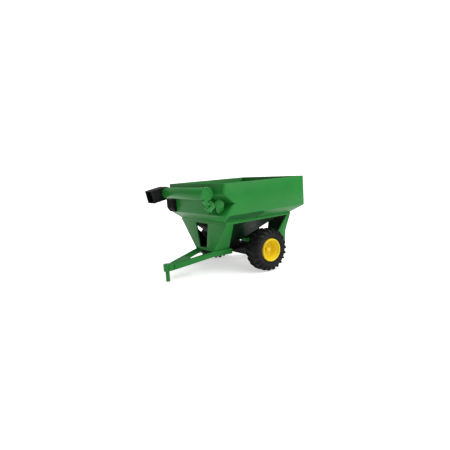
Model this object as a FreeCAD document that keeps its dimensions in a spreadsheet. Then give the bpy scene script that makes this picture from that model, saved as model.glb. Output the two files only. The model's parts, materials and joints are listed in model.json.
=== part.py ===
import FreeCAD, Part
import math
import os
import re

import Sketcher

# Grain cart, a 1:16 moulded plastic toy. Millimetres.
# The origin is the tip of the hitch pin, on the ground. +X is the cart's left, +Y its rear, +Z up.

Vector = FreeCAD.Vector
DOC = FreeCAD.newDocument("grain_cart")

# Driving dimensions: alias, value, meaning.
DIMENSIONS = [
    ("tank_half", 132, "half the width of the tank"),
    ("tank_front", 97, "front wall of the tank"),
    ("tank_rear", 370.5, "rear wall of the tank"),
    ("rim_top", 239, "height of the rim"),
    ("crease", 161, "height where the upright walls turn inwards"),
    ("skin", 3, "thickness of the moulded walls"),
    ("belt_half", 106, "half the width of the belt under the tank"),
    ("belt_front", 115, "front of the belt"),
    ("belt_rear", 339, "rear of the belt"),
    ("belt_top", 142, "top of the belt"),
    ("belt_low", 135, "underside of the belt"),
    ("belt_ring", 6, "width of the belt's ring"),
    ("notch_inner", 62, "inner end of the notch for the auger"),
    ("notch_high", 213, "where the notch leaves the front wall"),
    ("notch_deep", 30, "depth of the notch"),
    ("notch_middle", 189, "height of the notch's deepest line"),
    ("floor_top", 137.5, "top of the tank's flat floor"),
    ("funnel_half", 98, "half the width of the funnel's mouth"),
    ("funnel_front", 130, "front of the funnel's mouth"),
    ("funnel_rear", 299, "rear of the funnel's mouth"),
    ("sump_half", 30, "half the width of the sump"),
    ("sump_front", 185, "front of the sump"),
    ("sump_rear", 215, "rear of the sump"),
    ("sump_top", 74, "top of the sump"),
    ("sump_low", 60, "underside of the sump"),
    ("decal_low", 0.27, "lower edge of the decal strip, as a part of the sloping band"),
    ("decal_high", 0.93, "upper edge of the decal strip"),
    ("decal_thick", 0.8, "thickness of the decal strip"),
    ("decal_front", 112, "front end of the decal strip"),
    ("decal_rear", 222, "rear end of the decal strip"),
    ("foot", 60, "underside of the front pedestal"),
    ("foot_half", 41, "half the width of the front pedestal's foot"),
    ("foot_plate", 2.5, "thickness of the foot plate"),
    ("wing_top", 24, "width of the front wing at the belt"),
    ("wing_foot", 53, "width of the front wing at the foot"),
    ("slot_left", 25, "left edge of the slot, at its top"),
    ("slot_right", 34, "right edge of the slot, at its top"),
    ("slot_taper", 13, "how far each edge of the slot leans in"),
    ("slot_low", 67, "lower end of the slot"),
    ("liner", 1.5, "thickness of the black liners in the pedestals"),
    ("knee_half", 86, "half the width of the rear pedestal at its knee"),
    ("knee", 88, "height of the rear pedestal's knee"),
    ("rear_foot_half", 80, "half the width of the rear pedestal's foot"),
    ("rear_foot", 36, "underside of the rear pedestal"),
    ("rear_wing_top", 14, "width of the rear wing at the belt"),
    ("rear_wing_knee", 32, "width of the rear wing at the knee"),
    ("spine_half", 14, "half the width of the chassis spines"),
    ("spine_deep", 14, "height of the chassis spines"),
    ("axle_y", 235, "place of the axle along the cart"),
    ("axle_z", 56, "height of the axle"),
    ("rod_radius", 3, "radius of the axle rod"),
    ("rod_half", 123.7, "half the length of the axle rod"),
    ("beam_half", 90, "half the length of the axle beam"),
    ("beam_front", 221, "front of the axle beam"),
    ("beam_rear", 247, "rear of the axle beam"),
    ("beam_low", 34, "underside of the axle beam"),
    ("beam_top", 64, "top of the axle beam"),
    ("spacer_radius", 6, "outer radius of the axle spacers"),
    ("wheel_in", 92, "inner face of a tyre"),
    ("wheel_out", 137, "outer face of a tyre"),
    ("tyre_radius", 56, "radius of a tyre over its lugs"),
    ("seat_radius", 31, "radius where the tyre sits on the rim"),
    ("hub_in", 100, "inner end of a hub"),
    ("hub_out", 124, "outer end of a hub"),
    ("bush_radius", 4.6, "outer radius of a hub bush"),
    ("running_gap", 0.05, "radial clearance between a bush and the rod"),
    ("tongue_width", 9, "width of a tongue beam"),
    ("tongue_high", 14, "height of a tongue beam"),
    ("tongue_bend", 115, "where the tongue beams turn down to the hitch"),
    ("tongue_end", 175, "rear end of the tongue beams"),
    ("tongue_end_half", 46, "outer face of the tongue beams at their rear end"),
    ("nose_y", 15, "front end of the tongue beams"),
    ("nose_top", 43, "top of the tongue at the nose"),
    ("nose_half", 14, "half the width of the tongue at the nose"),
    ("web_end", 62, "rear end of the web between the beams"),
    ("web_half", 16, "half the width of the web at its rear end"),
    ("web_thick", 4, "thickness of the web"),
    ("head_radius", 9, "radius of the hitch head"),
    ("head_low", 27, "underside of the hitch head"),
    ("head_top", 45, "top of the hitch head"),
    ("knuckle_half", 11, "half the width of the block behind the hitch head"),
    ("knuckle_low", 28, "underside of that block"),
    ("pin_radius", 5, "radius of the hitch pin"),
    ("stem_radius", 3, "radius of the pin's stem in the head"),
    ("stem_top", 40, "top of the pin's stem"),
    ("tube_radius", 15, "radius of the upper auger tube"),
    ("tube_bore", 13, "bore of the upper auger tube"),
    ("tube_y", 70.5, "place of the folded upper auger along the cart"),
    ("tube_z", 216.5, "height of the folded upper auger"),
    ("tube_right", 99.8, "right end of the folded upper auger"),
    ("cap_inner", 94, "inner face of the upper flange"),
    ("cap_face", 102, "mating face of the upper flange"),
    ("cap_radius", 16.5, "radius of the upper auger flange"),
    ("lower_cap", 11.5, "radius of the lower auger flange"),
    ("cap_edge", 1.2, "chamfer round the two auger flanges"),
    ("cap_gap", 0.5, "gap between the flanges when unfolded"),
    ("lower_flange", 4, "thickness of the lower flange"),
    ("lower_radius", 10, "radius of the lower auger tube"),
    ("lower_length", 172, "length of the lower auger tube"),
    ("tube_room", 0.3, "room round the lower tube where it passes through a wall"),
    ("hinge_x", 100.7, "middle of the fold hinge, across the cart"),
    ("hinge_y", 71, "middle of the fold hinge, along the cart"),
    ("hinge_z", 190.2, "middle of the fold hinge, height"),
    ("fold_sine", 0.75, "part of the hinge axis along Y"),
    ("fold_angle", 126.87, "angle from folded to unfolded, degrees"),
    ("eye_radius", 3, "outer radius of the hinge knuckles"),
    ("hinge_pin_radius", 1.2, "radius of the hinge pin"),
    ("hinge_pin_half", 12.5, "half the length of the hinge pin"),
    ("middle_eye", 4.5, "half the length of the middle knuckle"),
    ("outer_eye", 4.75, "where the outer knuckles start"),
    ("eye_end", 12, "where the outer knuckles end"),
    ("arm_reach", 16, "reach of the hinge arms from the pin"),
    ("arm_thick", 5, "thickness of the hinge arms"),
    ("hood_left", 100, "face of the spout hood beside the tube"),
    ("hood_right", 139, "far face of the spout hood"),
    ("hood_radius", 17.5, "outer radius of the spout hood round the tube's axis"),
    ("hood_reach", 44, "reach of the spout hood from the tube's axis"),
    ("hood_skin", 2, "thickness of the spout hood"),
    ("hood_droop", 11, "how far the spout hood droops, degrees"),
    ("spigot_radius", 12.9, "radius of the spout's spigot in the tube"),
    ("spigot_bore", 11, "bore of the spigot"),
    ("spigot_end", 88, "inner end of the spigot"),
    ("rest_left", 98, "left edge of the auger rest"),
    ("rest_right", 130, "right edge of the auger rest"),
    ("rest_low", 161, "underside of the auger rest"),
    ("rest_top", 199, "top of the auger rest"),
    ("rest_front", 84, "front of the auger rest"),
    ("rest_plate", 2.5, "thickness of the rest's plates and ribs"),
    ("screw_radius", 2.6, "radius of a screw head"),
    ("screw_high", 1.8, "height of a screw head"),
]

SHEET = DOC.addObject("Spreadsheet::Sheet", "dims")
for row, (alias, value, meaning) in enumerate(DIMENSIONS, start=1):
    SHEET.set("A%d" % row, meaning)
    SHEET.set("B%d" % row, str(value))
    SHEET.setAlias("B%d" % row, alias)
DOC.recompute()

PIECES = []


def bind(text):
    """An expression on the sheet's aliases, as a document expression."""
    return re.sub(r"[a-z][a-z_]+", r"dims.\g<0>", text)


def size(text):
    """The value of an expression on the sheet's aliases."""
    return float(SHEET.evalExpression(text))


def drive(item, **expressions):
    """Bind properties of an object to the sheet."""
    for name, text in expressions.items():
        item.setExpression(name, bind(text))


def place(item, x="0", y="0", z="0"):
    for letter, text in zip("xyz", (x, y, z)):
        item.setExpression("Placement.Base." + letter, bind(text))


def piece(label, item):
    """Name a finished sub-part. Its label is the name of its file."""
    item.Label = label
    PIECES.append(item)
    return item


def block(x, y, z):
    """A box from (low, high) pairs of expressions."""
    item = DOC.addObject("Part::Box", "block")
    spans = ["(%s) - (%s)" % (high, low) for low, high in (x, y, z)]
    drive(item, Length=spans[0], Width=spans[1], Height=spans[2])
    place(item, x[0], y[0], z[0])
    return item


def frustum(low, high, z):
    """A tapered block: low and high are (x0, x1, y0, y1) at the two heights in z."""
    item = DOC.addObject("Part::Wedge", "frustum")
    drive(item, Ymin=z[0], Ymax=z[1], Xmin=low[0], Xmax=low[1], X2min=high[0], X2max=high[1],
          Zmin="-(%s)" % low[3], Zmax="-(%s)" % low[2],
          Z2min="-(%s)" % high[3], Z2max="-(%s)" % high[2])
    item.Placement = FreeCAD.Placement(Vector(), FreeCAD.Rotation(Vector(1, 0, 0), 90))
    return item


def cylinder(radius, length, start, turn=None):
    """A cylinder from start, along X unless turn gives another rotation from Z."""
    item = DOC.addObject("Part::Cylinder", "cylinder")
    drive(item, Radius=radius, Height=length)
    item.Placement.Rotation = turn or FreeCAD.Rotation(Vector(0, 1, 0), 90)
    place(item, *start)
    return item


UPRIGHT = FreeCAD.Rotation()


def outline(body, plane, points, offset):
    """A closed sketch on one of the body's own planes, each corner held by two dimensions."""
    sketch = body.newObject("Sketcher::SketchObject", "outline")
    base = next(f for f in body.Origin.OriginFeatures if f.Role == plane)
    sketch.AttachmentSupport = (base, [""])
    sketch.MapMode = "FlatFace"
    sketch.setExpression("AttachmentOffset.Base.z", bind(offset))
    corners = [Vector(size(u), size(v), 0) for u, v in points]
    count = len(corners)
    for i in range(count):
        sketch.addGeometry(Part.LineSegment(corners[i], corners[(i + 1) % count]))
    for i in range(count):
        sketch.addConstraint(Sketcher.Constraint("Coincident", i, 2, (i + 1) % count, 1))
    for i, point in enumerate(points):
        for kind, text in zip(("DistanceX", "DistanceY"), point):
            index = sketch.addConstraint(Sketcher.Constraint(kind, -1, 1, i, 1, size(text)))
            sketch.setExpression("Constraints[%d]" % index, bind(text))
    return sketch


def prism(plane, points, start, end):
    """A padded outline: XZ runs along Y, YZ along X and XY along Z, from start to end."""
    body = DOC.addObject("PartDesign::Body", "prism")
    backwards = plane == "XZ_Plane"
    offset = "-(%s)" % start if backwards else start
    pad = body.newObject("PartDesign::Pad", "pad")
    pad.Profile = outline(body, plane, points, offset)
    pad.Reversed = backwards
    drive(pad, Length="(%s) - (%s)" % (end, start))
    return body


def turned(points):
    """A solid of revolution about an axis along X, from (x, radius) points."""
    body = DOC.addObject("PartDesign::Body", "turned")
    axis = next(f for f in body.Origin.OriginFeatures if f.Role == "X_Axis")
    turn = body.newObject("PartDesign::Revolution", "turn")
    turn.Profile = outline(body, "XY_Plane", points, "0")
    turn.ReferenceAxis = (axis, [""])
    turn.Angle = 360
    return body


def fuse(*items):
    item = DOC.addObject("Part::MultiFuse", "fuse")
    item.Shapes = list(items)
    item.Refine = True
    return item


def common(*items):
    item = DOC.addObject("Part::MultiCommon", "common")
    item.Shapes = list(items)
    return item


def cut(base, *tools):
    """Take each tool out of the base in turn."""
    for tool in tools:
        item = DOC.addObject("Part::Cut", "cut")
        item.Base = base
        item.Tool = tool
        base = item
    return base


def mirror(label, source):
    """The same sub-part on the other side of the cart."""
    item = DOC.addObject("Part::Mirroring", "mirror")
    item.Source = source
    item.Normal = Vector(1, 0, 0)
    return piece(label, item)


# Directions of the fold hinge. The hinge axis lies in the YZ plane.
fold_axis = Vector(0, size("fold_sine"), math.sqrt(1 - size("fold_sine") ** 2))
hinge = Vector(size("hinge_x"), size("hinge_y"), size("hinge_z"))
unfolded = FreeCAD.Placement(Vector(), FreeCAD.Rotation(fold_axis, size("fold_angle")), hinge)


def carried(item):
    """Turn a piece drawn beside the folded auger to where the lower auger has it."""
    item.Placement = unfolded.multiply(item.Placement)
    return item


def lower_cylinder(radius, start, length):
    """A cylinder on the axis of the lower auger, start being measured along the folded tube."""
    item = DOC.addObject("Part::Cylinder", "lower")
    drive(item, Radius=radius, Height=length)
    base = Vector(size(start), size("tube_y"), size("tube_z"))
    item.Placement = FreeCAD.Placement(base, FreeCAD.Rotation(Vector(0, 1, 0), 90))
    return carried(item)


def tank_space(inset, bottom, top):
    """The tank's outer form, or its hollow when inset by the wall's thickness."""
    half, front, rear = "tank_half - " + inset, "tank_front + " + inset, "tank_rear - " + inset
    upper = (("-(%s)" % half, half), (front, rear), ("crease", top))
    belt = ("-(belt_half - %s)" % inset, "belt_half - " + inset,
            "belt_front + " + inset, "belt_rear - " + inset)
    walls = ("-(%s)" % half, half, front, rear)
    return fuse(block(*upper), frustum(belt, walls, (bottom, "crease")))


def notch(grow, inner, outer):
    """The notch at the tank's front left corner, a triangle in the YZ plane grown on each side."""
    slope_high = "(notch_high - notch_middle) / notch_deep"
    slope_low = "(notch_middle - crease) / notch_deep"
    reach = "(tank_front - tube_y) / 2"
    deep = "tank_front + notch_deep + %s * 1.5" % grow
    high = "notch_middle + (notch_deep + %s * 1.5 + %s) * %s" % (grow, reach, slope_high)
    low = "notch_middle - (notch_deep + %s * 1.5 + %s) * %s" % (grow, reach, slope_low)
    front = "tank_front - " + reach
    return prism("YZ_Plane", [(front, high), (front, low), (deep, "notch_middle")], inner, outer)


def tank_shell():
    body = cut(tank_space("0", "belt_top", "rim_top"), notch("0", "notch_inner", "tank_half + 1"))
    hollow = cut(tank_space("skin", "belt_top", "rim_top + 1"),
                 notch("skin", "notch_inner - skin", "tank_half + 2"))
    return piece("tank_shell", cut(body, hollow, auger_hole()))


def auger_hole():
    """What the lower auger tube takes out of the walls that it passes through."""
    return lower_cylinder("lower_radius + tube_room", "cap_face + cap_gap",
                          "lower_flange + lower_length + 6")


def belt_rail():
    outer = block(("-belt_half", "belt_half"), ("belt_front", "belt_rear"), ("belt_low", "belt_top"))
    inner = block(("-(belt_half - belt_ring)", "belt_half - belt_ring"),
                  ("belt_front + belt_ring", "belt_rear - belt_ring"),
                  ("belt_low - 1", "belt_top + 1"))
    return piece("belt_rail", cut(outer, inner, auger_hole()))


def hopper_funnel():
    mouth = ("-funnel_half", "funnel_half", "funnel_front", "funnel_rear")
    outlet = ("-sump_half", "sump_half", "sump_front", "sump_rear")
    mouth_in = ("-(funnel_half - skin)", "funnel_half - skin",
                "funnel_front + skin", "funnel_rear - skin")
    outlet_in = ("-(sump_half - skin)", "sump_half - skin", "sump_front + skin", "sump_rear - skin")
    floor = block(("-(belt_half - belt_ring)", "belt_half - belt_ring"),
                  ("belt_front + belt_ring", "belt_rear - belt_ring"), ("belt_low", "floor_top"))
    mouth_cut = block(mouth_in[:2], mouth_in[2:], ("belt_low - 1", "floor_top + 1"))
    shell = cut(frustum(outlet, mouth, ("sump_top", "belt_low")),
                frustum(outlet_in, mouth_in, ("sump_top", "belt_low")))
    whole = cut(fuse(floor, shell), mouth_cut, auger_hole())
    return piece("hopper_funnel", whole)


def sump_box():
    outer = block(("-sump_half", "sump_half"), ("sump_front", "sump_rear"), ("sump_low", "sump_top"))
    inner = block(("-(sump_half - skin)", "sump_half - skin"),
                  ("sump_front + skin", "sump_rear - skin"), ("sump_low + skin", "sump_top + 1"))
    return piece("sump_box", cut(outer, inner, auger_hole()))


def decal_strips():
    """A plain strip on the sloping band, laid on its outside."""
    run, rise = "(tank_half - belt_half)", "(crease - belt_top)"

    def on_band(part, out):
        return ("belt_half + %s * %s + %s * 0.6" % (run, part, out),
                "belt_top + %s * %s - %s * 0.8" % (rise, part, out))

    points = [on_band("decal_low", "0"), on_band("decal_high", "0"),
              on_band("decal_high", "decal_thick"), on_band("decal_low", "decal_thick")]
    left = piece("decal_strip_left", prism("XZ_Plane", points, "decal_front", "decal_rear"))
    mirror("decal_strip_right", left)


def taper_slab(outer, lean):
    """The slanted side plate of a pedestal, in the XZ plane: outer lists its outer corners."""
    inner = [("%s - %s" % (x, lean), z) for x, z in reversed(outer)]
    return prism("XZ_Plane", outer + inner, "belt_front", "belt_rear + 1")


def other_side(item):
    twin = DOC.addObject("Part::Mirroring", "twin")
    twin.Source = item
    twin.Normal = Vector(1, 0, 0)
    return twin


def slot(start, end):
    points = [("-slot_right", "belt_low - 2"), ("-(slot_right - slot_taper)", "slot_low"),
              ("slot_left - slot_taper", "slot_low"), ("slot_left", "belt_low - 2")]
    return prism("XZ_Plane", points, start, end)


def front_pedestal():
    plate_y = ("belt_front + 1", "belt_front + 1 + skin")
    edge = [("belt_half", "belt_low"), ("foot_half", "foot")]
    mirrored_edge = [("-(%s)" % x, z) for x, z in reversed(edge)]
    plate = cut(prism("XZ_Plane", edge + mirrored_edge, *plate_y), slot("belt_front", "belt_front + 9"))
    side = [("belt_front + 1", "belt_low"), ("belt_front + 1", "foot"),
            ("belt_front + wing_foot", "foot"), ("belt_front + wing_top", "belt_low")]
    wing = common(prism("YZ_Plane", side, "0", "belt_half + 1"), taper_slab(edge, "skin * 1.3"))
    foot = block(("-foot_half", "foot_half"), ("belt_front + 1", "belt_front + wing_foot"),
                 ("foot", "foot + foot_plate"))
    return piece("front_pedestal", fuse(plate, wing, other_side(wing), foot))


def rear_pedestal():
    edge = [("belt_half", "belt_low"), ("knee_half", "knee"), ("rear_foot_half", "rear_foot")]
    mirrored_edge = [("-(%s)" % x, z) for x, z in reversed(edge)]
    plate = cut(prism("XZ_Plane", edge + mirrored_edge, "belt_rear - skin - 1", "belt_rear - 1"),
                slot("belt_rear - 9", "belt_rear"))
    knee_line = "(belt_rear - rear_wing_knee)"
    side = [("belt_rear - 1", "belt_low"), ("belt_rear - rear_wing_top", "belt_low"),
            (knee_line, "knee"), (knee_line, "rear_foot"), ("belt_rear - 1", "rear_foot")]
    wing = common(prism("YZ_Plane", side, "0", "belt_half + 1"), taper_slab(edge, "skin * 1.3"))
    return piece("rear_pedestal", fuse(plate, wing, other_side(wing)))


def liner(label, edge, side, plate_y):
    """A thin liner behind a pedestal's plate and inside its wings."""
    inset = [("%s - skin * 1.3" % x, z) for x, z in edge]
    mirrored_edge = [("-(%s)" % x, z) for x, z in reversed(inset)]
    plate = cut(prism("XZ_Plane", inset + mirrored_edge, *plate_y),
                slot("%s - 2" % plate_y[0], "%s + 2" % plate_y[1]))
    cheek = common(prism("YZ_Plane", side, "0", "belt_half"), taper_slab(inset, "liner"))
    piece(label, fuse(plate, cheek, other_side(cheek)))


def liners():
    floor = "foot + foot_plate"
    share = "(foot_plate / (belt_low - foot))"
    edge = [("belt_half", "belt_low"), ("foot_half + (belt_half - foot_half) * " + share, floor)]
    start = "belt_front + 1 + skin"
    side = [(start, "belt_low"), (start, floor), ("belt_front + wing_foot - 3", floor),
            ("belt_front + wing_top - 1", "belt_low")]
    liner("front_liner", edge, side, (start, start + " + liner"))
    low = "rear_foot + spine_deep"
    part = "(spine_deep / (knee - rear_foot))"
    edge = [("belt_half", "belt_low"), ("knee_half", "knee"),
            ("rear_foot_half + (knee_half - rear_foot_half) * " + part, low)]
    end = "belt_rear - 1 - skin"
    knee_line = "belt_rear - rear_wing_knee + 1"
    side = [(end, "belt_low"), ("belt_rear - rear_wing_top + 1", "belt_low"), (knee_line, "knee"),
            (knee_line, low), (end, low)]
    liner("rear_liner", edge, side, (end + " - liner", end))


def chassis():
    piece("chassis_spine_front",
          block(("-spine_half", "spine_half"), ("belt_front + 1", "beam_front"),
                ("foot - spine_deep", "foot")))
    piece("chassis_spine_rear",
          block(("-spine_half", "spine_half"), ("beam_rear", "belt_rear - 1 - skin"),
                ("rear_foot", "rear_foot + spine_deep")))
    beam = block(("-beam_half", "beam_half"), ("beam_front", "beam_rear"), ("beam_low", "beam_top"))
    bore = cylinder("rod_radius", "2 * beam_half + 2", ("-beam_half - 1", "axle_y", "axle_z"))
    piece("axle_beam", cut(beam, bore))
    piece("axle_rod", cylinder("rod_radius", "2 * rod_half", ("-rod_half", "axle_y", "axle_z")))
    ring = cylinder("spacer_radius", "hub_in - beam_half - 0.2", ("beam_half", "axle_y", "axle_z"))
    hole = cylinder("rod_radius", "hub_in - beam_half + 2", ("beam_half - 1", "axle_y", "axle_z"))
    mirror("axle_spacer_right", piece("axle_spacer_left", cut(ring, hole)))


def on_axle(body):
    place(body, "0", "axle_y", "axle_z")
    return body


def wheels():
    """Tyre, dished rim, bush and hub cap, each turned about the axle."""
    tyre = [("wheel_in", "seat_radius + 2"), ("wheel_in + 2", "seat_radius"),
            ("wheel_out - 2", "seat_radius"), ("wheel_out", "seat_radius + 2"),
            ("wheel_out", "tyre_radius - 9"), ("wheel_out - 3", "tyre_radius - 3"),
            ("wheel_out - 8", "tyre_radius"), ("wheel_in + 8", "tyre_radius"),
            ("wheel_in + 3", "tyre_radius - 3"), ("wheel_in", "tyre_radius - 9")]
    rim = [("hub_in", "bush_radius"), ("hub_out", "bush_radius"), ("hub_out", "8"),
           ("hub_out - 6", "9.5"), ("hub_out - 7", "19"), ("hub_out - 4", "23.5"),
           ("wheel_out - 2.5", "27.5"), ("wheel_out - 0.3", "28.2"), ("wheel_out", "29.3"),
           ("wheel_out - 0.3", "30.4"), ("wheel_out - 2", "seat_radius"),
           ("wheel_in + 2", "seat_radius"), ("wheel_in + 2", "28.5"), ("hub_in + 6", "25.5"),
           ("hub_out - 12", "21"), ("hub_out - 12", "8"), ("hub_in", "8")]
    bush = [("hub_in", "rod_radius + running_gap"), ("hub_in", "bush_radius"),
            ("hub_out", "bush_radius"), ("hub_out", "rod_radius + running_gap")]
    cap = [("hub_out", "0"), ("hub_out", "7"), ("hub_out + 3", "6.6"), ("hub_out + 5", "5"),
           ("hub_out + 6", "2.5"), ("hub_out + 6", "0")]
    for name, points in (("tyre", tyre), ("wheel_rim", rim), ("hub_bush", bush), ("hub_cap", cap)):
        mirror(name + "_right", piece(name + "_left", on_axle(turned(points))))


def tongue():
    """Two beams that close towards the hitch, with a web between them at the nose."""
    low_bend, low_nose = "foot - tongue_high", "nose_top - tongue_high"
    side = [("tongue_end", "foot"), ("tongue_bend", "foot"), ("nose_y", "nose_top"),
            ("nose_y", low_nose), ("tongue_bend", low_bend), ("tongue_end", low_bend)]
    plan = [("nose_half", "nose_y"), ("foot_half", "tongue_bend"), ("tongue_end_half", "tongue_end"),
            ("tongue_end_half - tongue_width", "tongue_end"),
            ("foot_half - tongue_width", "tongue_bend"),
            ("nose_half - tongue_width", "nose_y")]
    beam = common(prism("YZ_Plane", side, "0", "tongue_end_half + 1"),
                  prism("XY_Plane", plan, "0", "foot + 1"))
    mirror("tongue_beam_right", piece("tongue_beam_left", beam))
    slope = "(foot - nose_top) / (tongue_bend - nose_y)"
    top = "nose_top + %s * (web_end - nose_y)" % slope
    profile = [("nose_y", "nose_top"), ("nose_y", "nose_top - web_thick"),
               ("web_end", top + " - web_thick"), ("web_end", top)]
    spread = "(foot_half - nose_half) / (tongue_bend - nose_y)"
    inner = "nose_half - tongue_width"
    inner_end = "%s + %s * (web_end - nose_y)" % (inner, spread)
    web_plan = [(inner, "nose_y"), (inner_end, "web_end"),
                ("-(%s)" % inner_end, "web_end"), ("-(%s)" % inner, "nose_y")]
    piece("tongue_nose_plate", common(prism("YZ_Plane", profile, "-web_half * 2", "web_half * 2"),
                                      prism("XY_Plane", web_plan, "0", "foot")))


def hitch():
    head = cylinder("head_radius", "head_top - head_low", ("0", "0", "head_low"), UPRIGHT)
    knuckle = block(("-knuckle_half", "knuckle_half"), ("0", "nose_y"), ("knuckle_low", "nose_top"))
    stem_hole = cylinder("stem_radius", "stem_top", ("0", "0", "0"), UPRIGHT)
    piece("hitch_head", cut(fuse(head, knuckle), stem_hole))
    pin = cylinder("pin_radius", "head_low", ("0", "0", "0"), UPRIGHT)
    stem = cylinder("stem_radius", "stem_top", ("0", "0", "0"), UPRIGHT)
    piece("hitch_pin", fuse(pin, stem))


def disc(radius, start, end):
    """The outline of a chamfered flange between two places along its axis."""
    return [(start, "0"), (start, radius + " - cap_edge"), (start + " + cap_edge", radius),
            (end + " - cap_edge", radius), (end, radius + " - cap_edge"), (end, "0")]


def upper_auger():
    tube_start = ("-tube_right", "tube_y", "tube_z")
    tube = cylinder("tube_radius", "tube_right + cap_inner", tube_start)
    bore = cylinder("tube_bore", "tube_right + cap_inner + 2", ("-tube_right - 1",) + tube_start[1:])
    piece("upper_auger_tube", cut(tube, bore))
    flange = turned(disc("cap_radius", "cap_inner", "cap_face"))
    place(flange, "0", *tube_start[1:])
    piece("upper_auger_flange", flange)


def lower_auger():
    flange = turned(disc("lower_cap", "cap_face + cap_gap", "cap_face + cap_gap + lower_flange"))
    flange.Placement = FreeCAD.Placement(Vector(0, size("tube_y"), size("tube_z")), UPRIGHT)
    piece("lower_auger_flange", carried(flange))
    piece("lower_auger_tube",
          lower_cylinder("lower_radius", "cap_face + cap_gap + lower_flange", "lower_length"))


def on_hinge(item, x, across, along):
    """Lay an item out by the folded hinge: x over the cart, across from the pin, along the pin."""
    across_way = fold_axis.cross(Vector(-1, 0, 0))
    frame = FreeCAD.Matrix(1, 0, 0, 0, 0, across_way.y, -fold_axis.y, 0,
                           0, across_way.z, -fold_axis.z, 0, 0, 0, 0, 1)
    turn = FreeCAD.Placement(frame).Rotation
    item.Placement = FreeCAD.Placement(hinge + turn.multVec(Vector(x, across, along)), turn)
    return item


def eye(radius, start, end):
    item = DOC.addObject("Part::Cylinder", "eye")
    drive(item, Radius=radius, Height="(%s) - (%s)" % (end, start))
    return on_hinge(item, 0, 0, size(start))


def arm(x, across, along):
    """A flat arm by the hinge, from (low, high) pairs of expressions."""
    item = DOC.addObject("Part::Box", "arm")
    spans = ["(%s) - (%s)" % (high, low) for low, high in (x, across, along)]
    drive(item, Length=spans[0], Width=spans[1], Height=spans[2])
    return on_hinge(item, *[size(pair[0]) for pair in (x, across, along)])


def fold_hinge():
    """The middle knuckle belongs to the upper auger and the outer two to the lower one."""
    face = "cap_face - hinge_x"
    cap_start = ("cap_inner - 1", "tube_y", "tube_z")
    pin_hole = eye("hinge_pin_radius + running_gap", "-hinge_pin_half - 1", "hinge_pin_half + 1")
    middle = fuse(eye("eye_radius", "-middle_eye", "middle_eye"),
                  arm((face + " - arm_thick", face), ("0", "arm_reach"), ("-middle_eye", "middle_eye")))
    piece("hinge_bracket_upper",
          cut(middle, cylinder("cap_radius", "cap_face", cap_start), pin_hole))
    lower_face = face + " + cap_gap"
    plate = carried(arm((lower_face, lower_face + " + lower_flange"),
                        ("eye_radius + 2.5", "arm_reach"), ("-eye_end", "eye_end")))
    ears = [carried(arm((lower_face, lower_face + " + lower_flange"), ("0", "eye_radius + 3"), span))
            for span in (("-eye_end", "-outer_eye"), ("outer_eye", "eye_end"))]
    knuckles = [eye("eye_radius", *span)
                for span in (("-eye_end", "-outer_eye"), ("outer_eye", "eye_end"))]
    tight_hole = eye("hinge_pin_radius", "-hinge_pin_half - 1", "hinge_pin_half + 1")
    piece("hinge_bracket_lower",
          cut(fuse(plate, *ears, *knuckles),
              lower_cylinder("lower_cap", "cap_face", "lower_flange + 8"), tight_hole))
    piece("hinge_pin", eye("hinge_pin_radius", "-hinge_pin_half", "hinge_pin_half"))


def spout():
    """A hood that hangs over the end of the tube and drops forward, open at its mouth."""
    droop = FreeCAD.Rotation(Vector(1, 0, 0), size("hood_droop"))
    axis = Vector(0, size("tube_y"), size("tube_z"))

    def hood(inset, reach):
        half = "(hood_radius - %s)" % inset
        long = "hood_right - hood_left - 2 * " + inset
        round_end = cylinder(half, long, ("-(hood_right - %s)" % inset, "tube_y", "tube_z"))
        front = DOC.addObject("Part::Box", "front")
        drive(front, Length=long, Width=reach, Height="2 * " + half)
        corner = Vector(-size("hood_right - " + inset), -size(reach), -size(half))
        front.Placement = FreeCAD.Placement(axis + droop.multVec(corner), droop)
        return fuse(round_end, front)

    tube_hole = cylinder("spigot_radius", "hood_skin + 4", ("-hood_left - 3", "tube_y", "tube_z"))
    piece("spout_hood", cut(hood("0", "hood_reach"), hood("hood_skin", "hood_reach + 3"), tube_hole))
    spigot_start = ("-hood_left - hood_skin", "tube_y", "tube_z")
    ring = cylinder("spigot_radius", "hood_left + hood_skin - spigot_end", spigot_start)
    bore = cylinder("spigot_bore", "hood_left + 4", ("-hood_left - hood_skin - 1",) + spigot_start[1:])
    piece("spout_spigot", cut(ring, bore))


def auger_rest():
    """A ribbed rest on the front wall, under the folded tube."""
    across, upright = ("-rest_right", "-rest_left"), ("rest_low", "rest_top")
    back = block(across, ("tank_front - rest_plate", "tank_front"), upright)
    shelf = block(across, ("rest_front", "tank_front"), ("rest_top - rest_plate", "rest_top"))
    count = 5
    ribs = []
    for i in range(count):
        low = "-rest_right + (rest_right - rest_left - rest_plate) * %d / %d" % (i, count - 1)
        profile = [("rest_front", "rest_top"), ("tank_front", "rest_top"), ("tank_front", "rest_low"),
                   ("tank_front - 5", "rest_low"), ("rest_front", "rest_low + 12")]
        ribs.append(prism("YZ_Plane", profile, low, low + " + rest_plate"))
    piece("auger_rest", fuse(back, shelf, *ribs))


def screws(label, low, places):
    """Identical screw heads as one group of separate solids."""
    heads = [cylinder("screw_radius", "screw_high", (x, y, low), UPRIGHT) for x, y in places]
    group = DOC.addObject("Part::Compound", "screws")
    group.Links = heads
    piece(label, group)


def both_sides(x, rows):
    return [(sign + x, y) for sign in ("", "-") for y in rows]


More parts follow.
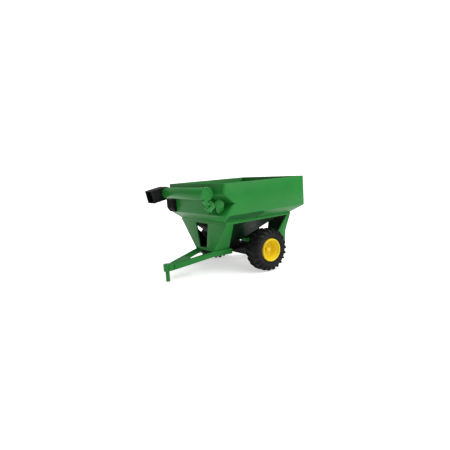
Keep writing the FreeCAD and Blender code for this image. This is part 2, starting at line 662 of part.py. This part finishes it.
tank_shell()
belt_rail()
hopper_funnel()
sump_box()
decal_strips()
front_pedestal()
rear_pedestal()
liners()
chassis()
wheels()
tongue()
hitch()
upper_auger()
lower_auger()
fold_hinge()
spout()
auger_rest()
screws("tongue_screws", "foot - tongue_high - screw_high",
       both_sides("(foot_half - tongue_width / 2)", ("belt_front + 15", "belt_front + 35")))
screws("pedestal_screws", "foot + foot_plate",
       both_sides("spine_half", ("belt_front + 20", "belt_front + 40")))
screws("funnel_screws", "belt_low - screw_high",
       both_sides("(belt_half - 12)", ("belt_front + 10", "belt_rear - 20")))

DOC.recompute()

os.makedirs("parts", exist_ok=True)
for item in DOC.Objects:
    if "Invalid" in item.State or "Error" in item.State:
        raise RuntimeError("%s (%s) did not build: %s" % (item.Name, item.Label, item.State))
for item in PIECES:
    shape = item.Shape
    if shape.isNull() or not shape.isValid() or not shape.Solids:
        raise RuntimeError(item.Label + " is not a valid solid")
for item in PIECES:
    item.Shape.exportStep(os.path.join("parts", item.Label + ".step"))
    box = item.Shape.BoundBox
    print("%-22s solids %d  volume %9.1f  x %.1f..%.1f  y %.1f..%.1f  z %.1f..%.1f" % (
        item.Label, len(item.Shape.Solids), item.Shape.Volume,
        box.XMin, box.XMax, box.YMin, box.YMax, box.ZMin, box.ZMax))
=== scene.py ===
import json
import math

import bmesh
import bpy
from mathutils import Matrix, Vector

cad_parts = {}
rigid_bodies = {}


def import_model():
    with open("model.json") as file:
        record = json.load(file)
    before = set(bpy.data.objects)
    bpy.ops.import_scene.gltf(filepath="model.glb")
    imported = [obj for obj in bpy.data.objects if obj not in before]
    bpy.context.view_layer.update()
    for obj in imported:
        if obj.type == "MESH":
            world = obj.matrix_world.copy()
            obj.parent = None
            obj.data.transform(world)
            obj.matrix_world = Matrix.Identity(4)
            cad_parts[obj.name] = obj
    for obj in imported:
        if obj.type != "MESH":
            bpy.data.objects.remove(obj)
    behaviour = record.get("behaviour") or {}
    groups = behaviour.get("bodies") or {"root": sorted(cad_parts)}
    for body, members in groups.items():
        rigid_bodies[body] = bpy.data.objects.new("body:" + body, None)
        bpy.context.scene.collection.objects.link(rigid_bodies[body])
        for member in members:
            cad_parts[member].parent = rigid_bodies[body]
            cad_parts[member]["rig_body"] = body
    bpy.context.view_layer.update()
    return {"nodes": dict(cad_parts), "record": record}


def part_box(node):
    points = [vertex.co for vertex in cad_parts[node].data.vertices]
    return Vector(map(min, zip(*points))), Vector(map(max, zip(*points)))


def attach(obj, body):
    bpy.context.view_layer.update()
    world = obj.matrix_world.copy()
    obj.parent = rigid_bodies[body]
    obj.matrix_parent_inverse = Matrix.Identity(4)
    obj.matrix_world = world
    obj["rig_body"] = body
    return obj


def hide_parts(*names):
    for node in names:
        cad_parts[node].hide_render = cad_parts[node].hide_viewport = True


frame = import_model()

MM = 0.001
TAU = 2 * math.pi

# ---------------------------------------------------------------- materials


class Shader:
    """A node material with a Principled shader and a few helpers to build its inputs."""

    def __init__(self, name, roughness, **constants):
        self.material = bpy.data.materials.new(name)
        self.material.use_nodes = True
        self.tree = self.material.node_tree
        self.surface = next(n for n in self.tree.nodes if n.type == "BSDF_PRINCIPLED")
        self.surface.inputs["Roughness"].default_value = roughness
        for key, value in constants.items():
            self.surface.inputs[key.replace("_", " ")].default_value = value
        self.place = self.add("ShaderNodeTexCoord").outputs["Object"]

    def add(self, kind, **settings):
        node = self.tree.nodes.new(kind)
        for key, value in settings.items():
            setattr(node, key, value)
        return node

    def join(self, source, node, socket):
        self.tree.links.new(source, node.inputs[socket])

    def noise(self, scale, detail=3.0, roughness=0.55, stretch=None):
        """Noise of so many waves a metre, 0 to 1."""
        node = self.add("ShaderNodeTexNoise")
        node.inputs["Scale"].default_value = scale
        node.inputs["Detail"].default_value = detail
        node.inputs["Roughness"].default_value = roughness
        place = self.place
        if stretch:
            mapping = self.add("ShaderNodeMapping")
            mapping.inputs["Scale"].default_value = stretch
            self.join(place, mapping, "Vector")
            place = mapping.outputs["Vector"]
        self.join(place, node, "Vector")
        return node.outputs["Fac"]

    def ramp(self, source, stops):
        """Colours or greys along a value: stops are (place, colour)."""
        node = self.add("ShaderNodeValToRGB")
        elements = node.color_ramp.elements
        while len(elements) < len(stops):
            elements.new(0.5)
        for element, (where, colour) in zip(elements, stops):
            element.position = where
            if not hasattr(colour, "__len__"):
                colour = (colour, colour, colour)
            element.color = (*colour, 1.0)
        self.join(source, node, "Fac")
        return node.outputs["Color"]

    def mix(self, a, b, share, mode="MIX"):
        node = self.add("ShaderNodeMix", data_type="RGBA", blend_type=mode)
        for socket, value in ((6, a), (7, b)):
            if hasattr(value, "links"):
                self.tree.links.new(value, node.inputs[socket])
            else:
                node.inputs[socket].default_value = (*value, 1.0)
        if hasattr(share, "links"):
            self.tree.links.new(share, node.inputs[0])
        else:
            node.inputs[0].default_value = share
        return node.outputs[2]

    def bump(self, *layers):
        """Bumps stacked on each other: each is (height, depth in metres)."""
        normal = None
        for height, depth in layers:
            node = self.add("ShaderNodeBump")
            node.inputs["Distance"].default_value = depth
            node.inputs["Strength"].default_value = 1.0
            self.join(height, node, "Height")
            if normal:
                self.join(normal, node, "Normal")
            normal = node.outputs["Normal"]
        self.join(normal, self.surface, "Normal")

    def colour(self, source):
        self.join(source, self.surface, "Base Color")

    def rough(self, source):
        self.join(source, self.surface, "Roughness")


def moulded(name, dark, light, low, high, peel=2.2e-5, **constants):
    """Glossy moulded plastic: slow colour drift, faint flow lines, orange peel and handling haze."""
    s = Shader(name, (low + high) / 2, **constants)
    drift = s.ramp(s.noise(9, 2), [(0.35, dark), (0.68, light)])
    flow = s.ramp(s.noise(30, 3, 0.6, (1.0, 0.25, 2.6)), [(0.3, 0.9), (0.7, 1.0)])
    s.colour(s.mix(drift, flow, 0.5, "MULTIPLY"))
    haze = s.noise(24, 5, 0.65)
    s.rough(s.ramp(haze, [(0.3, low), (0.75, high)]))
    s.bump((s.noise(620, 2, 0.5), peel), (s.noise(2600, 1, 0.5), peel * 0.25))
    return s.material


def satin(name, dark, light, worn, specular=0.22):
    """Satin moulded plastic with a fine spark-eroded grain and pale scuffs."""
    s = Shader(name, 0.4, Specular_IOR_Level=specular)
    tone = s.ramp(s.noise(14, 4), [(0.3, dark), (0.75, light)])
    scuff = s.ramp(s.noise(85, 6, 0.7, (1, 1, 3)), [(0.60, 0.0), (0.78, 1.0)])
    s.colour(s.mix(tone, worn, s.mix((0, 0, 0), scuff, 0.25)))
    s.rough(s.ramp(s.noise(40, 4), [(0.3, 0.30), (0.7, 0.46)]))
    s.bump((s.noise(1900, 3, 0.6), 4.5e-5), (s.noise(300, 2), 3e-5))
    return s.material


def soft_rubber(name):
    """Moulded rubber: matt, a little grey where it is handled, with a fine pebble."""
    s = Shader(name, 0.5, Specular_IOR_Level=0.17)
    tone = s.ramp(s.noise(20, 5), [(0.28, (0.0055, 0.0053, 0.0062)), (0.72, (0.0100, 0.0094, 0.0114))])
    bloom = s.ramp(s.noise(130, 6, 0.7), [(0.52, 0.0), (0.8, 1.0)])
    s.colour(s.mix(tone, (0.030, 0.0285, 0.032), s.mix((0, 0, 0), bloom, 0.30)))
    s.rough(s.ramp(s.noise(60, 5), [(0.3, 0.42), (0.7, 0.62)]))
    s.bump((s.noise(1500, 3, 0.6), 5e-5), (s.noise(240, 3), 6e-5))
    return s.material


def plated_steel(name):
    """Zinc-plated steel with fine turning marks."""
    s = Shader(name, 0.32, Metallic=1.0)
    s.colour(s.ramp(s.noise(160, 4), [(0.3, (0.34, 0.34, 0.35)), (0.7, (0.50, 0.50, 0.51))]))
    s.rough(s.ramp(s.noise(500, 4), [(0.3, 0.24), (0.7, 0.42)]))
    s.bump((s.noise(1200, 2, 0.5, (1, 1, 7)), 2e-5))
    return s.material


MATERIALS = {
    "green_plastic": moulded("green_plastic", (0.0140, 0.188, 0.0280), (0.0175, 0.218, 0.0325),
                             0.26, 0.38, Specular_IOR_Level=0.22),
    "dark_green_strip": moulded("dark_green_strip", (0.0065, 0.104, 0.0215), (0.0080, 0.116, 0.0245),
                                0.42, 0.50, peel=0.8e-5, Specular_IOR_Level=0.22),
    "black_plastic": satin("black_plastic", (0.0045, 0.0048, 0.0050), (0.0085, 0.0087, 0.0089),
                           (0.022, 0.022, 0.023), 0.18),
    # Painted shade: this very dark green is the green plastic darkened to the deep shade it sits in under
    # the tank.
    "deep_green_plastic": satin("deep_green_plastic", (0.0030, 0.020, 0.0065), (0.0045, 0.029, 0.0095),
                                (0.008, 0.045, 0.015), 0.10),
    "yellow_plastic": moulded("yellow_plastic", (0.78, 0.560, 0.012), (0.86, 0.640, 0.018),
                              0.24, 0.34, Specular_IOR_Level=0.35),
    "tyre_rubber": soft_rubber("tyre_rubber"),
    "steel": plated_steel("steel"),
}
SLOT_OF = {part["node"]: part["material_slot"] for part in frame["record"]["subparts"]}
BODY_OF = {name: node["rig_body"] for name, node in frame["nodes"].items()}


def dress(obj, slot):
    obj.data.materials.clear()
    obj.data.materials.append(MATERIALS[slot])


def dress_node(name):
    """A CAD node that stays as it is, in its own material."""
    node = frame["nodes"][name]
    if not node.material_slots:
        node.data.materials.append(None)
    for place in node.material_slots:
        place.material = MATERIALS[SLOT_OF[name]]


# ---------------------------------------------------------------- mesh helpers


def new_object(name, mesh):
    obj = bpy.data.objects.new(name, mesh)
    bpy.context.scene.collection.objects.link(obj)
    return obj


def finished(bm, name, slot, body, nodes=()):
    """A bmesh as a visible piece that rides on a body and may stand for CAD nodes."""
    bmesh.ops.recalc_face_normals(bm, faces=bm.faces)
    for face in bm.faces:
        face.smooth = True
    mesh = bpy.data.meshes.new(name)
    bm.to_mesh(mesh)
    bm.free()
    obj = new_object(name, mesh)
    dress(obj, slot)
    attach(obj, body)
    if nodes:
        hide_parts(*nodes)
    return obj


def soften(obj, width, segments=2, angle=28):
    """Round every sharp edge of a piece by so many millimetres, keeping its flats flat."""
    bevel = obj.modifiers.new("soften", "BEVEL")
    bevel.width = width * MM
    bevel.segments = segments
    bevel.limit_method = "ANGLE"
    bevel.angle_limit = math.radians(angle)
    bevel.use_clamp_overlap = True
    bevel.harden_normals = True
    return obj


def cleaned(name):
    """A CAD node's mesh as a bmesh, welded, with the triangles of each flat face merged."""
    bm = bmesh.new()
    bm.from_mesh(frame["nodes"][name].data)
    bmesh.ops.remove_doubles(bm, verts=bm.verts, dist=0.004 * MM)
    bmesh.ops.dissolve_limit(bm, angle_limit=math.radians(0.6), verts=bm.verts, edges=bm.edges)
    return bm


def moulding(node, width, segments=2, corners=None):
    """The CAD node's own shape with rounded edges. corners picks edges for a larger rounding first."""
    bm = cleaned(node)
    for radius, steps, wanted in corners or ():
        picked = [e for e in bm.edges if len(e.link_faces) == 2 and wanted(e)]
        bmesh.ops.bevel(bm, geom=picked, offset=radius * MM, offset_type="OFFSET", segments=steps,
                        profile=0.5, affect="EDGES", clamp_overlap=True)
    piece = finished(bm, node + "_moulding", SLOT_OF[node], BODY_OF[node], [node])
    return soften(piece, width, segments)


def turned(bm, profile, steps, centre):
    """Turn a closed outline of (x, radius) points in millimetres about a line along X."""
    rings = []
    for i in range(steps):
        angle = TAU * i / steps
        rings.append([bm.verts.new((x * MM, centre[0] + r * MM * math.sin(angle),
                                    centre[1] + r * MM * math.cos(angle))) for x, r in profile])
    count = len(profile)
    for i in range(steps):
        a, b = rings[i], rings[(i + 1) % steps]
        for j in range(count):
            k = (j + 1) % count
            bm.faces.new((a[j], a[k], b[k], b[j]))
    return bm


def mirrored(bm):
    """The same mesh on the other side of the cart."""
    twin = bm.copy()
    bmesh.ops.transform(twin, matrix=Matrix.Scale(-1, 4, Vector((1, 0, 0))), verts=twin.verts)
    bmesh.ops.reverse_faces(twin, faces=twin.faces)
    return twin


# ---------------------------------------------------------------- wheels

low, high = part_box("tyre_left")
AXLE = ((low.y + high.y) / 2, (low.z + high.z) / 2)
WHEEL_IN, WHEEL_OUT = low.x / MM, high.x / MM
WHEEL_MID = (WHEEL_IN + WHEEL_OUT) / 2

LUGS = 22
STEPS = 8            # columns of the tread's grid in one lug's pitch
LUG_STEPS = 3        # columns that a lug takes
LUG_HIGH = 3.5
# Half of the carcass outline from its middle to the bead: (offset from the middle, radius).
CARCASS = [(0, 52.5), (3, 52.5), (8, 52.4), (13, 52.0), (17, 50.9), (19.8, 48.8), (21.4, 46.0),
           (22.1, 43.2), (22.3, 42.6), (22.3, 41.8), (21.9, 41.2), (22.0, 38.4), (21.5, 36.0),
           (20.6, 34.2), (18.9, 33.3), (18.3, 32.2), (18.4, 31.1)]
LUG_ROWS = (1, 7)    # rows of that outline that a lug covers
SKEW = [0, 0.15, 1.15, 2.15, 2.95, 3.4, 3.65, 3.8]


def carcass_point(row, column, side, lift=0.0, inset=0.0):
    """A place on the tyre: column counts round it, lift is off its surface, in millimetres."""
    x, r = CARCASS[row]
    before, after = CARCASS[max(row - 1, 0)], CARCASS[min(row + 1, len(CARCASS) - 1)]
    along = Vector((after[0] - before[0], after[1] - before[1])).normalized()
    out = Vector((-along.y, along.x))
    x, r = x + out.x * lift + along.x * inset, r + out.y * lift + along.y * inset
    skew = SKEW[min(row, len(SKEW) - 1)]
    angle = TAU * (column + skew) / (LUGS * STEPS)
    return Vector(((WHEEL_MID + side * x) * MM, AXLE[0] + r * MM * math.sin(angle),
                   AXLE[1] + r * MM * math.cos(angle)))


def tread_half(bm, side, middle):
    """One side of the tyre with its lugs. middle is the shared ring at the tread's middle."""
    columns = LUGS * STEPS
    grid = [middle]
    for row in range(1, len(CARCASS)):
        grid.append([bm.verts.new(carcass_point(row, c, side)) for c in range(columns)])
    first, last = LUG_ROWS
    shift = 0 if side > 0 else STEPS // 2

    def in_lug(c):
        return (c - shift) % STEPS < LUG_STEPS

    for row in range(len(CARCASS) - 1):
        for c in range(columns):
            if first <= row < last and in_lug(c):
                continue
            d = (c + 1) % columns
            bm.faces.new((grid[row][c], grid[row + 1][c], grid[row + 1][d], grid[row][d]))
    for lug in range(LUGS):
        start = lug * STEPS + shift
        top = []
        for row in range(first, last + 1):
            line = []
            fade = (row - first) / (last - first)
            # A lug gets lower over the last part of its length, on the sidewall.
            lift = LUG_HIGH * (1 - 0.30 * max(0, fade - 0.6) / 0.4)
            inset = 0.7 if row == first else -0.9 if row == last else 0
            for i in range(LUG_STEPS + 1):
                draft = 0.22 if i == 0 else -0.22 if i == LUG_STEPS else 0
                line.append(bm.verts.new(carcass_point(row, start + i + draft, side, lift, inset)))
            top.append(line)
        base = [[grid[row][(start + i) % columns] for i in range(LUG_STEPS + 1)]
                for row in range(first, last + 1)]
        rows = last - first
        for j in range(rows):
            for i in range(LUG_STEPS):
                bm.faces.new((top[j][i], top[j + 1][i], top[j + 1][i + 1], top[j][i + 1]))
            for i in (0, LUG_STEPS):
                bm.faces.new((base[j][i], base[j + 1][i], top[j + 1][i], top[j][i]))
        for j in (0, rows):
            for i in range(LUG_STEPS):
                bm.faces.new((base[j][i], top[j][i], top[j][i + 1], base[j][i + 1]))
    return grid[-1]


def tyre():
    bm = bmesh.new()
    columns = LUGS * STEPS
    middle = [bm.verts.new(carcass_point(0, c, 1)) for c in range(columns)]
    outer, inner = tread_half(bm, 1, middle), tread_half(bm, -1, middle)
    for c in range(columns):
        d = (c + 1) % columns
        bm.faces.new((outer[c], inner[c], inner[d], outer[d]))
    bmesh.ops.recalc_face_normals(bm, faces=bm.faces)
    return bm


# The dished rim from its bore, over the dish and the lip, and back along its inner side: (x, radius).
RIM = [(100, 4.7), (116, 4.7), (116, 7.6), (115.2, 9.6), (113.6, 10.4), (113.0, 12.0), (113.0, 17.6),
       (113.8, 19.2), (116.5, 20.4), (121, 21.6), (125.5, 22.6), (128.0, 23.4), (129.3, 24.9),
       (131.5, 25.5), (134.2, 25.8), (135.8, 26.2), (136.7, 26.9), (137.0, 28.0), (136.7, 29.0),
       (135.9, 29.6), (134.0, 29.8), (131.0, 30.0), (129.0, 31.0), (118, 30.4), (108, 30.4),
       (97, 31.0), (94.5, 31.0), (94, 30.4), (94.2, 28.9), (96.0, 27.6), (104, 26.2), (107.5, 24.0), (109.5, 20.0), (110.0, 14.0),
       (108, 9.0), (100.6, 8.0), (100, 7.4)]


def rim():
    bm = bmesh.new()
    turned(bm, RIM, 96, AXLE)
    for i in range(8):
        bolt(bm, 112.8, 14.6, TAU * (i + 0.5) / 8)
    return bm


def bolt(bm, x, radius, angle, size=1.35, high=1.5):
    """A small hexagonal wheel bolt that stands out of the dish."""
    y = AXLE[0] + radius * MM * math.sin(angle)
    z = AXLE[1] + radius * MM * math.cos(angle)
    rings = []
    for out, part in ((0, 1.0), (high * 0.75, 1.0), (high, 0.78)):
        rings.append([bm.verts.new(((x + out) * MM, y + size * part * MM * math.sin(TAU * k / 6 + angle),
                                    z + size * part * MM * math.cos(TAU * k / 6 + angle)))
                      for k in range(6)])
    for a, b in zip(rings, rings[1:]):
        for k in range(6):
            bm.faces.new((a[k], a[(k + 1) % 6], b[(k + 1) % 6], b[k]))
    bm.faces.new(rings[-1])
    bm.faces.new(rings[0][::-1])


# The domed cap over the end of the axle rod: (x, radius).
CAP = [(115.9, 0.0), (115.9, 6.6), (121.0, 6.4), (123.4, 5.9), (125.0, 4.9), (125.9, 3.1), (126.2, 0.0)]


def cap():
    bm = bmesh.new()
    steps = 48
    inner, outer = bm.verts.new((CAP[0][0] * MM, *AXLE)), bm.verts.new((CAP[-1][0] * MM, *AXLE))
    rings = [[bm.verts.new((x * MM, AXLE[0] + r * MM * math.sin(TAU * i / steps),
                            AXLE[1] + r * MM * math.cos(TAU * i / steps))) for i in range(steps)]
             for x, r in CAP[1:-1]]
    for i in range(steps):
        k = (i + 1) % steps
        bm.faces.new((inner, rings[0][k], rings[0][i]))
        bm.faces.new((outer, rings[-1][i], rings[-1][k]))
        for a, b in zip(rings, rings[1:]):
            bm.faces.new((a[i], a[k], b[k], b[i]))
    return bm


def wheels():
    for name, make, slot, node in (("tyre_lugged", tyre, "tyre_rubber", "tyre"),
                                   ("rim_dished", rim, "yellow_plastic", "wheel_rim"),
                                   ("hub_dome", cap, "yellow_plastic", "hub_cap")):
        left = make()
        right = mirrored(left)
        for bm, side in ((left, "left"), (right, "right")):
            piece = finished(bm, "%s_%s" % (name, side), slot, side + "_wheel", ["%s_%s" % (node, side)])
            if node == "tyre":
                soften(piece, 0.35, 2, 34)
            elif node == "wheel_rim":
                soften(piece, 0.25, 2, 40)


# ---------------------------------------------------------------- body pieces


def upright_corner(edge):
    """True for the long edges that run up the corners of the tank and its sloping band."""
    a, b = (v.co for v in edge.verts)
    rise = abs(a.z - b.z)
    facing = edge.link_faces[0].normal.dot(edge.link_faces[1].normal)
    return rise > 10 * MM and abs(facing) < 0.5


def outer_corner(edge):
    """True for the outermost of those edges, which the tank has rounded."""
    a, b = (v.co for v in edge.verts)
    low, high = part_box("tank_shell")
    middle = (a + b) / 2
    near_x = min(abs(abs(a.x) - high.x), abs(abs(b.x) - high.x)) < 1 * MM
    near_y = min(abs(v - w) for v in (a.y, b.y) for w in (low.y, high.y)) < 1 * MM
    return upright_corner(edge) and near_x and near_y and edge.is_convex and middle.z > low.z


def mouldings():
    moulding("tank_shell", 0.6, 2, [(5.5, 6, outer_corner)])
    moulding("belt_rail", 0.9)
    moulding("hopper_funnel", 0.5)
    moulding("sump_box", 0.9)
    moulding("front_pedestal", 0.6)
    moulding("rear_pedestal", 0.6)
    moulding("front_liner", 0.3)
    moulding("rear_liner", 0.3)
    moulding("chassis_spine_front", 0.9)
    moulding("chassis_spine_rear", 0.9)
    moulding("axle_beam", 1.0)
    moulding("axle_spacer_left", 0.4)
    moulding("axle_spacer_right", 0.4)
    moulding("tongue_beam_left", 1.0)
    moulding("tongue_beam_right", 1.0)
    moulding("tongue_nose_plate", 0.5)
    moulding("hitch_head", 2.2, 4)
    moulding("hitch_pin", 1.0, 3)
    moulding("upper_auger_tube", 0.5)
    moulding("lower_auger_flange", 0.3)
    moulding("lower_auger_tube", 0.4)
    moulding("hinge_bracket_upper", 0.45)
    moulding("hinge_bracket_lower", 0.45)
    moulding("spout_hood", 0.8, 3)
    moulding("auger_rest", 0.4)


def flange():
    """The closed flange of the folded auger, with a raised rim and a low centre boss."""
    lo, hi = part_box("upper_auger_flange")
    inner, face, radius = lo.x / MM, hi.x / MM, (hi.y - lo.y) / 2 / MM
    profile = [(inner, 0.02), (inner, radius - 1), (inner + 1, radius), (face - 1, radius),
               (face - 0.25, radius - 0.4), (face, radius - 1.2), (face, radius - 3.2),
               (face - 0.9, radius - 3.8), (face - 0.9, 5.2), (face - 0.3, 4.6), (face - 0.3, 0.02)]
    bm = bmesh.new()
    turned(bm, profile, 72, ((lo.y + hi.y) / 2, (lo.z + hi.z) / 2))
    bmesh.ops.remove_doubles(bm, verts=bm.verts, dist=0.05 * MM)
    piece = finished(bm, "upper_flange_disc", "green_plastic", "upper_auger", ["upper_auger_flange"])
    soften(piece, 0.2, 2, 30)


# ---------------------------------------------------------------- screws


def islands(name):
    """The lowest and highest corner of each separate solid of a CAD node."""
    bm = cleaned(name)
    left, found = set(bm.verts), []
    while left:
        stack, group = [left.pop()], []
        while stack:
            v = stack.pop()
            group.append(v.co.copy())
            for e in v.link_edges:
                w = e.other_vert(v)
                if w in left:
                    left.remove(w)
                    stack.append(w)
        lo = Vector([min(c[i] for c in group) for i in range(3)])
        hi = Vector([max(c[i] for c in group) for i in range(3)])
        found.append((lo, hi))
    bm.free()
    return sorted(found, key=lambda pair: tuple(pair[0]))


def screw_heads(node, facing):
    """Pan heads with a cross recess, on the CAD screws. facing is 1 up or -1 down."""
    bm = bmesh.new()
    steps = 32
    for lo, hi in islands(node):
        centre = (lo + hi) / 2
        radius, high = (hi.x - lo.x) / 2, hi.z - lo.z
        base = lo.z if facing > 0 else hi.z
        outline = [(radius, 0), (radius, high * 0.45), (radius * 0.93, high * 0.72),
                   (radius * 0.76, high * 0.93), (radius * 0.56, high)]
        rings = []
        for r, z in outline:
            rings.append([bm.verts.new((centre.x + r * math.cos(TAU * i / steps),
                                        centre.y + r * math.sin(TAU * i / steps), base + facing * z))
                          for i in range(steps)])
        for a, b in zip(rings, rings[1:]):
            for i in range(steps):
                bm.faces.new((a[i], a[(i + 1) % steps], b[(i + 1) % steps], b[i]))
        bm.faces.new(rings[0][::-1])
        # The cross recess: its outline alternates between the arms' ends and the inner corners.
        cross, sunk = [], []
        for i in range(steps):
            quarter = (i + 4) % 8 - 4
            r = radius * (0.50 if abs(quarter) <= 1 else 0.17 + 0.02 * (4 - abs(quarter)))
            turn = i if abs(quarter) > 1 else round(i / 8) * 8 + quarter * 0.62
            angle = TAU * turn / steps
            cross.append(bm.verts.new((centre.x + r * math.cos(angle), centre.y + r * math.sin(angle),
                                       base + facing * high)))
            deep = 0.55 if abs(quarter) <= 1 else 0.85
            sunk.append(bm.verts.new((centre.x + deep * r * math.cos(angle),
                                      centre.y + deep * r * math.sin(angle), base + facing * high * 0.42)))
        for i in range(steps):
            k = (i + 1) % steps
            bm.faces.new((rings[-1][i], rings[-1][k], cross[k], cross[i]))
            bm.faces.new((cross[i], cross[k], sunk[k], sunk[i]))
        bm.faces.new(sunk)
    finished(bm, node + "_heads", "steel", "cart", [node])


# ---------------------------------------------------------------- build

wheels()
mouldings()
flange()
screw_heads("tongue_screws", -1)
screw_heads("pedestal_screws", 1)
screw_heads("funnel_screws", -1)
for name in ("decal_strip_left", "decal_strip_right", "axle_rod", "hub_bush_left", "hub_bush_right",
             "hinge_pin", "spout_spigot"):
    dress_node(name)

# ---------------------------------------------------------------- floor, lights and camera

SKY_LIGHT = 0.35            # strength of the backdrop's light on the cart
SUN_LIGHT = 2.4             # a wide overhead light, so the shadows stay soft
SUN_ANGLE = 70
SUN_FROM = (0.45, 0.25, 1.0)
KEY_LIGHT = 6               # watts, from the left and behind
STRIP_LIGHT = 5             # watts, for the edges that face up and back
FLOOR_GLOW = 0.55           # how much brighter the floor shows
FLOOR_BOUNCE = 0.22         # and how much of it lights the cart


def floor():
    mesh = bpy.data.meshes.new("floor")
    half = 30
    mesh.from_pydata([(-half, -half, 0), (half, -half, 0), (half, half, 0), (-half, half, 0)], [],
                     [(0, 1, 2, 3)])
    obj = new_object("floor", mesh)
    material = bpy.data.materials.new("pale_floor")
    material.use_nodes = True
    surface = next(n for n in material.node_tree.nodes if n.type == "BSDF_PRINCIPLED")
    surface.inputs["Base Color"].default_value = (0.82, 0.82, 0.82, 1)
    surface.inputs["Roughness"].default_value = 0.9
    surface.inputs["Specular IOR Level"].default_value = 0.0
    surface.inputs["Emission Color"].default_value = (1, 1, 1, 1)
    path = material.node_tree.nodes.new("ShaderNodeLightPath")
    glow = material.node_tree.nodes.new("ShaderNodeMapRange")
    glow.inputs["To Min"].default_value = FLOOR_BOUNCE
    glow.inputs["To Max"].default_value = FLOOR_GLOW
    material.node_tree.links.new(path.outputs["Is Camera Ray"], glow.inputs["Value"])
    material.node_tree.links.new(glow.outputs["Result"], surface.inputs["Emission Strength"])
    mesh.materials.append(material)


def area_light(name, place, target, size, power, colour=(1, 1, 1)):
    light = bpy.data.lights.new(name, "AREA")
    light.shape = "RECTANGLE"
    light.size, light.size_y = size
    light.energy = power
    light.color = colour
    obj = new_object(name, light)
    obj.location = place
    obj.rotation_euler = (Vector(target) - Vector(place)).to_track_quat("-Z", "Y").to_euler()
    return obj


def studio():
    """A white sweep: the backdrop shows white, and lights the cart less than it shows."""
    world = bpy.data.worlds.new("studio")
    world.use_nodes = True
    tree = world.node_tree
    back = next(n for n in tree.nodes if n.type == "BACKGROUND")
    back.inputs["Color"].default_value = (1, 1, 1, 1)
    path = tree.nodes.new("ShaderNodeLightPath")
    level = tree.nodes.new("ShaderNodeMapRange")
    level.inputs["To Min"].default_value = SKY_LIGHT
    level.inputs["To Max"].default_value = 1.1
    tree.links.new(path.outputs["Is Camera Ray"], level.inputs["Value"])
    tree.links.new(level.outputs["Result"], back.inputs["Strength"])
    bpy.context.scene.world = world
    bpy.context.scene.view_settings.view_transform = "Standard"
    sun = bpy.data.lights.new("overhead", "SUN")
    sun.energy = SUN_LIGHT
    sun.angle = math.radians(SUN_ANGLE)
    lamp = new_object("overhead", sun)
    lamp.rotation_euler = Vector(SUN_FROM).to_track_quat("Z", "Y").to_euler()
    area_light("key", (1.5, 0.7, 0.9), (0, 0.2, 0.12), (0.9, 0.9), KEY_LIGHT)
    area_light("strip", (-0.3, 0.9, 1.1), (0.1, 0.2, 0.1), (0.9, 0.12), STRIP_LIGHT)


CAMERA_AT = (0.856262, -0.433933, 0.277592)
CAMERA_AZIMUTH, CAMERA_ELEVATION, CAMERA_ROLL = 53.936, 8.604, -3.958
CAMERA_LENS = 30.837


def camera():
    az, el, roll = (math.radians(a) for a in (CAMERA_AZIMUTH, CAMERA_ELEVATION, CAMERA_ROLL))
    back = Vector((math.sin(az) * math.cos(el), -math.cos(az) * math.cos(el), math.sin(el)))
    side = (-back).cross(Vector((0, 0, 1))).normalized()
    up = side.cross(-back)
    right = side * math.cos(roll) + up * math.sin(roll)
    top = up * math.cos(roll) - side * math.sin(roll)
    data = bpy.data.cameras.new("camera")
    data.lens = CAMERA_LENS
    data.sensor_width = 36
    data.clip_start = 0.01
    data.clip_end = 100
    obj = new_object("camera", data)
    turn = Matrix((right, top, back)).transposed().to_4x4()
    obj.matrix_world = Matrix.Translation(CAMERA_AT) @ turn
    bpy.context.scene.camera = obj


floor()
studio()
camera()
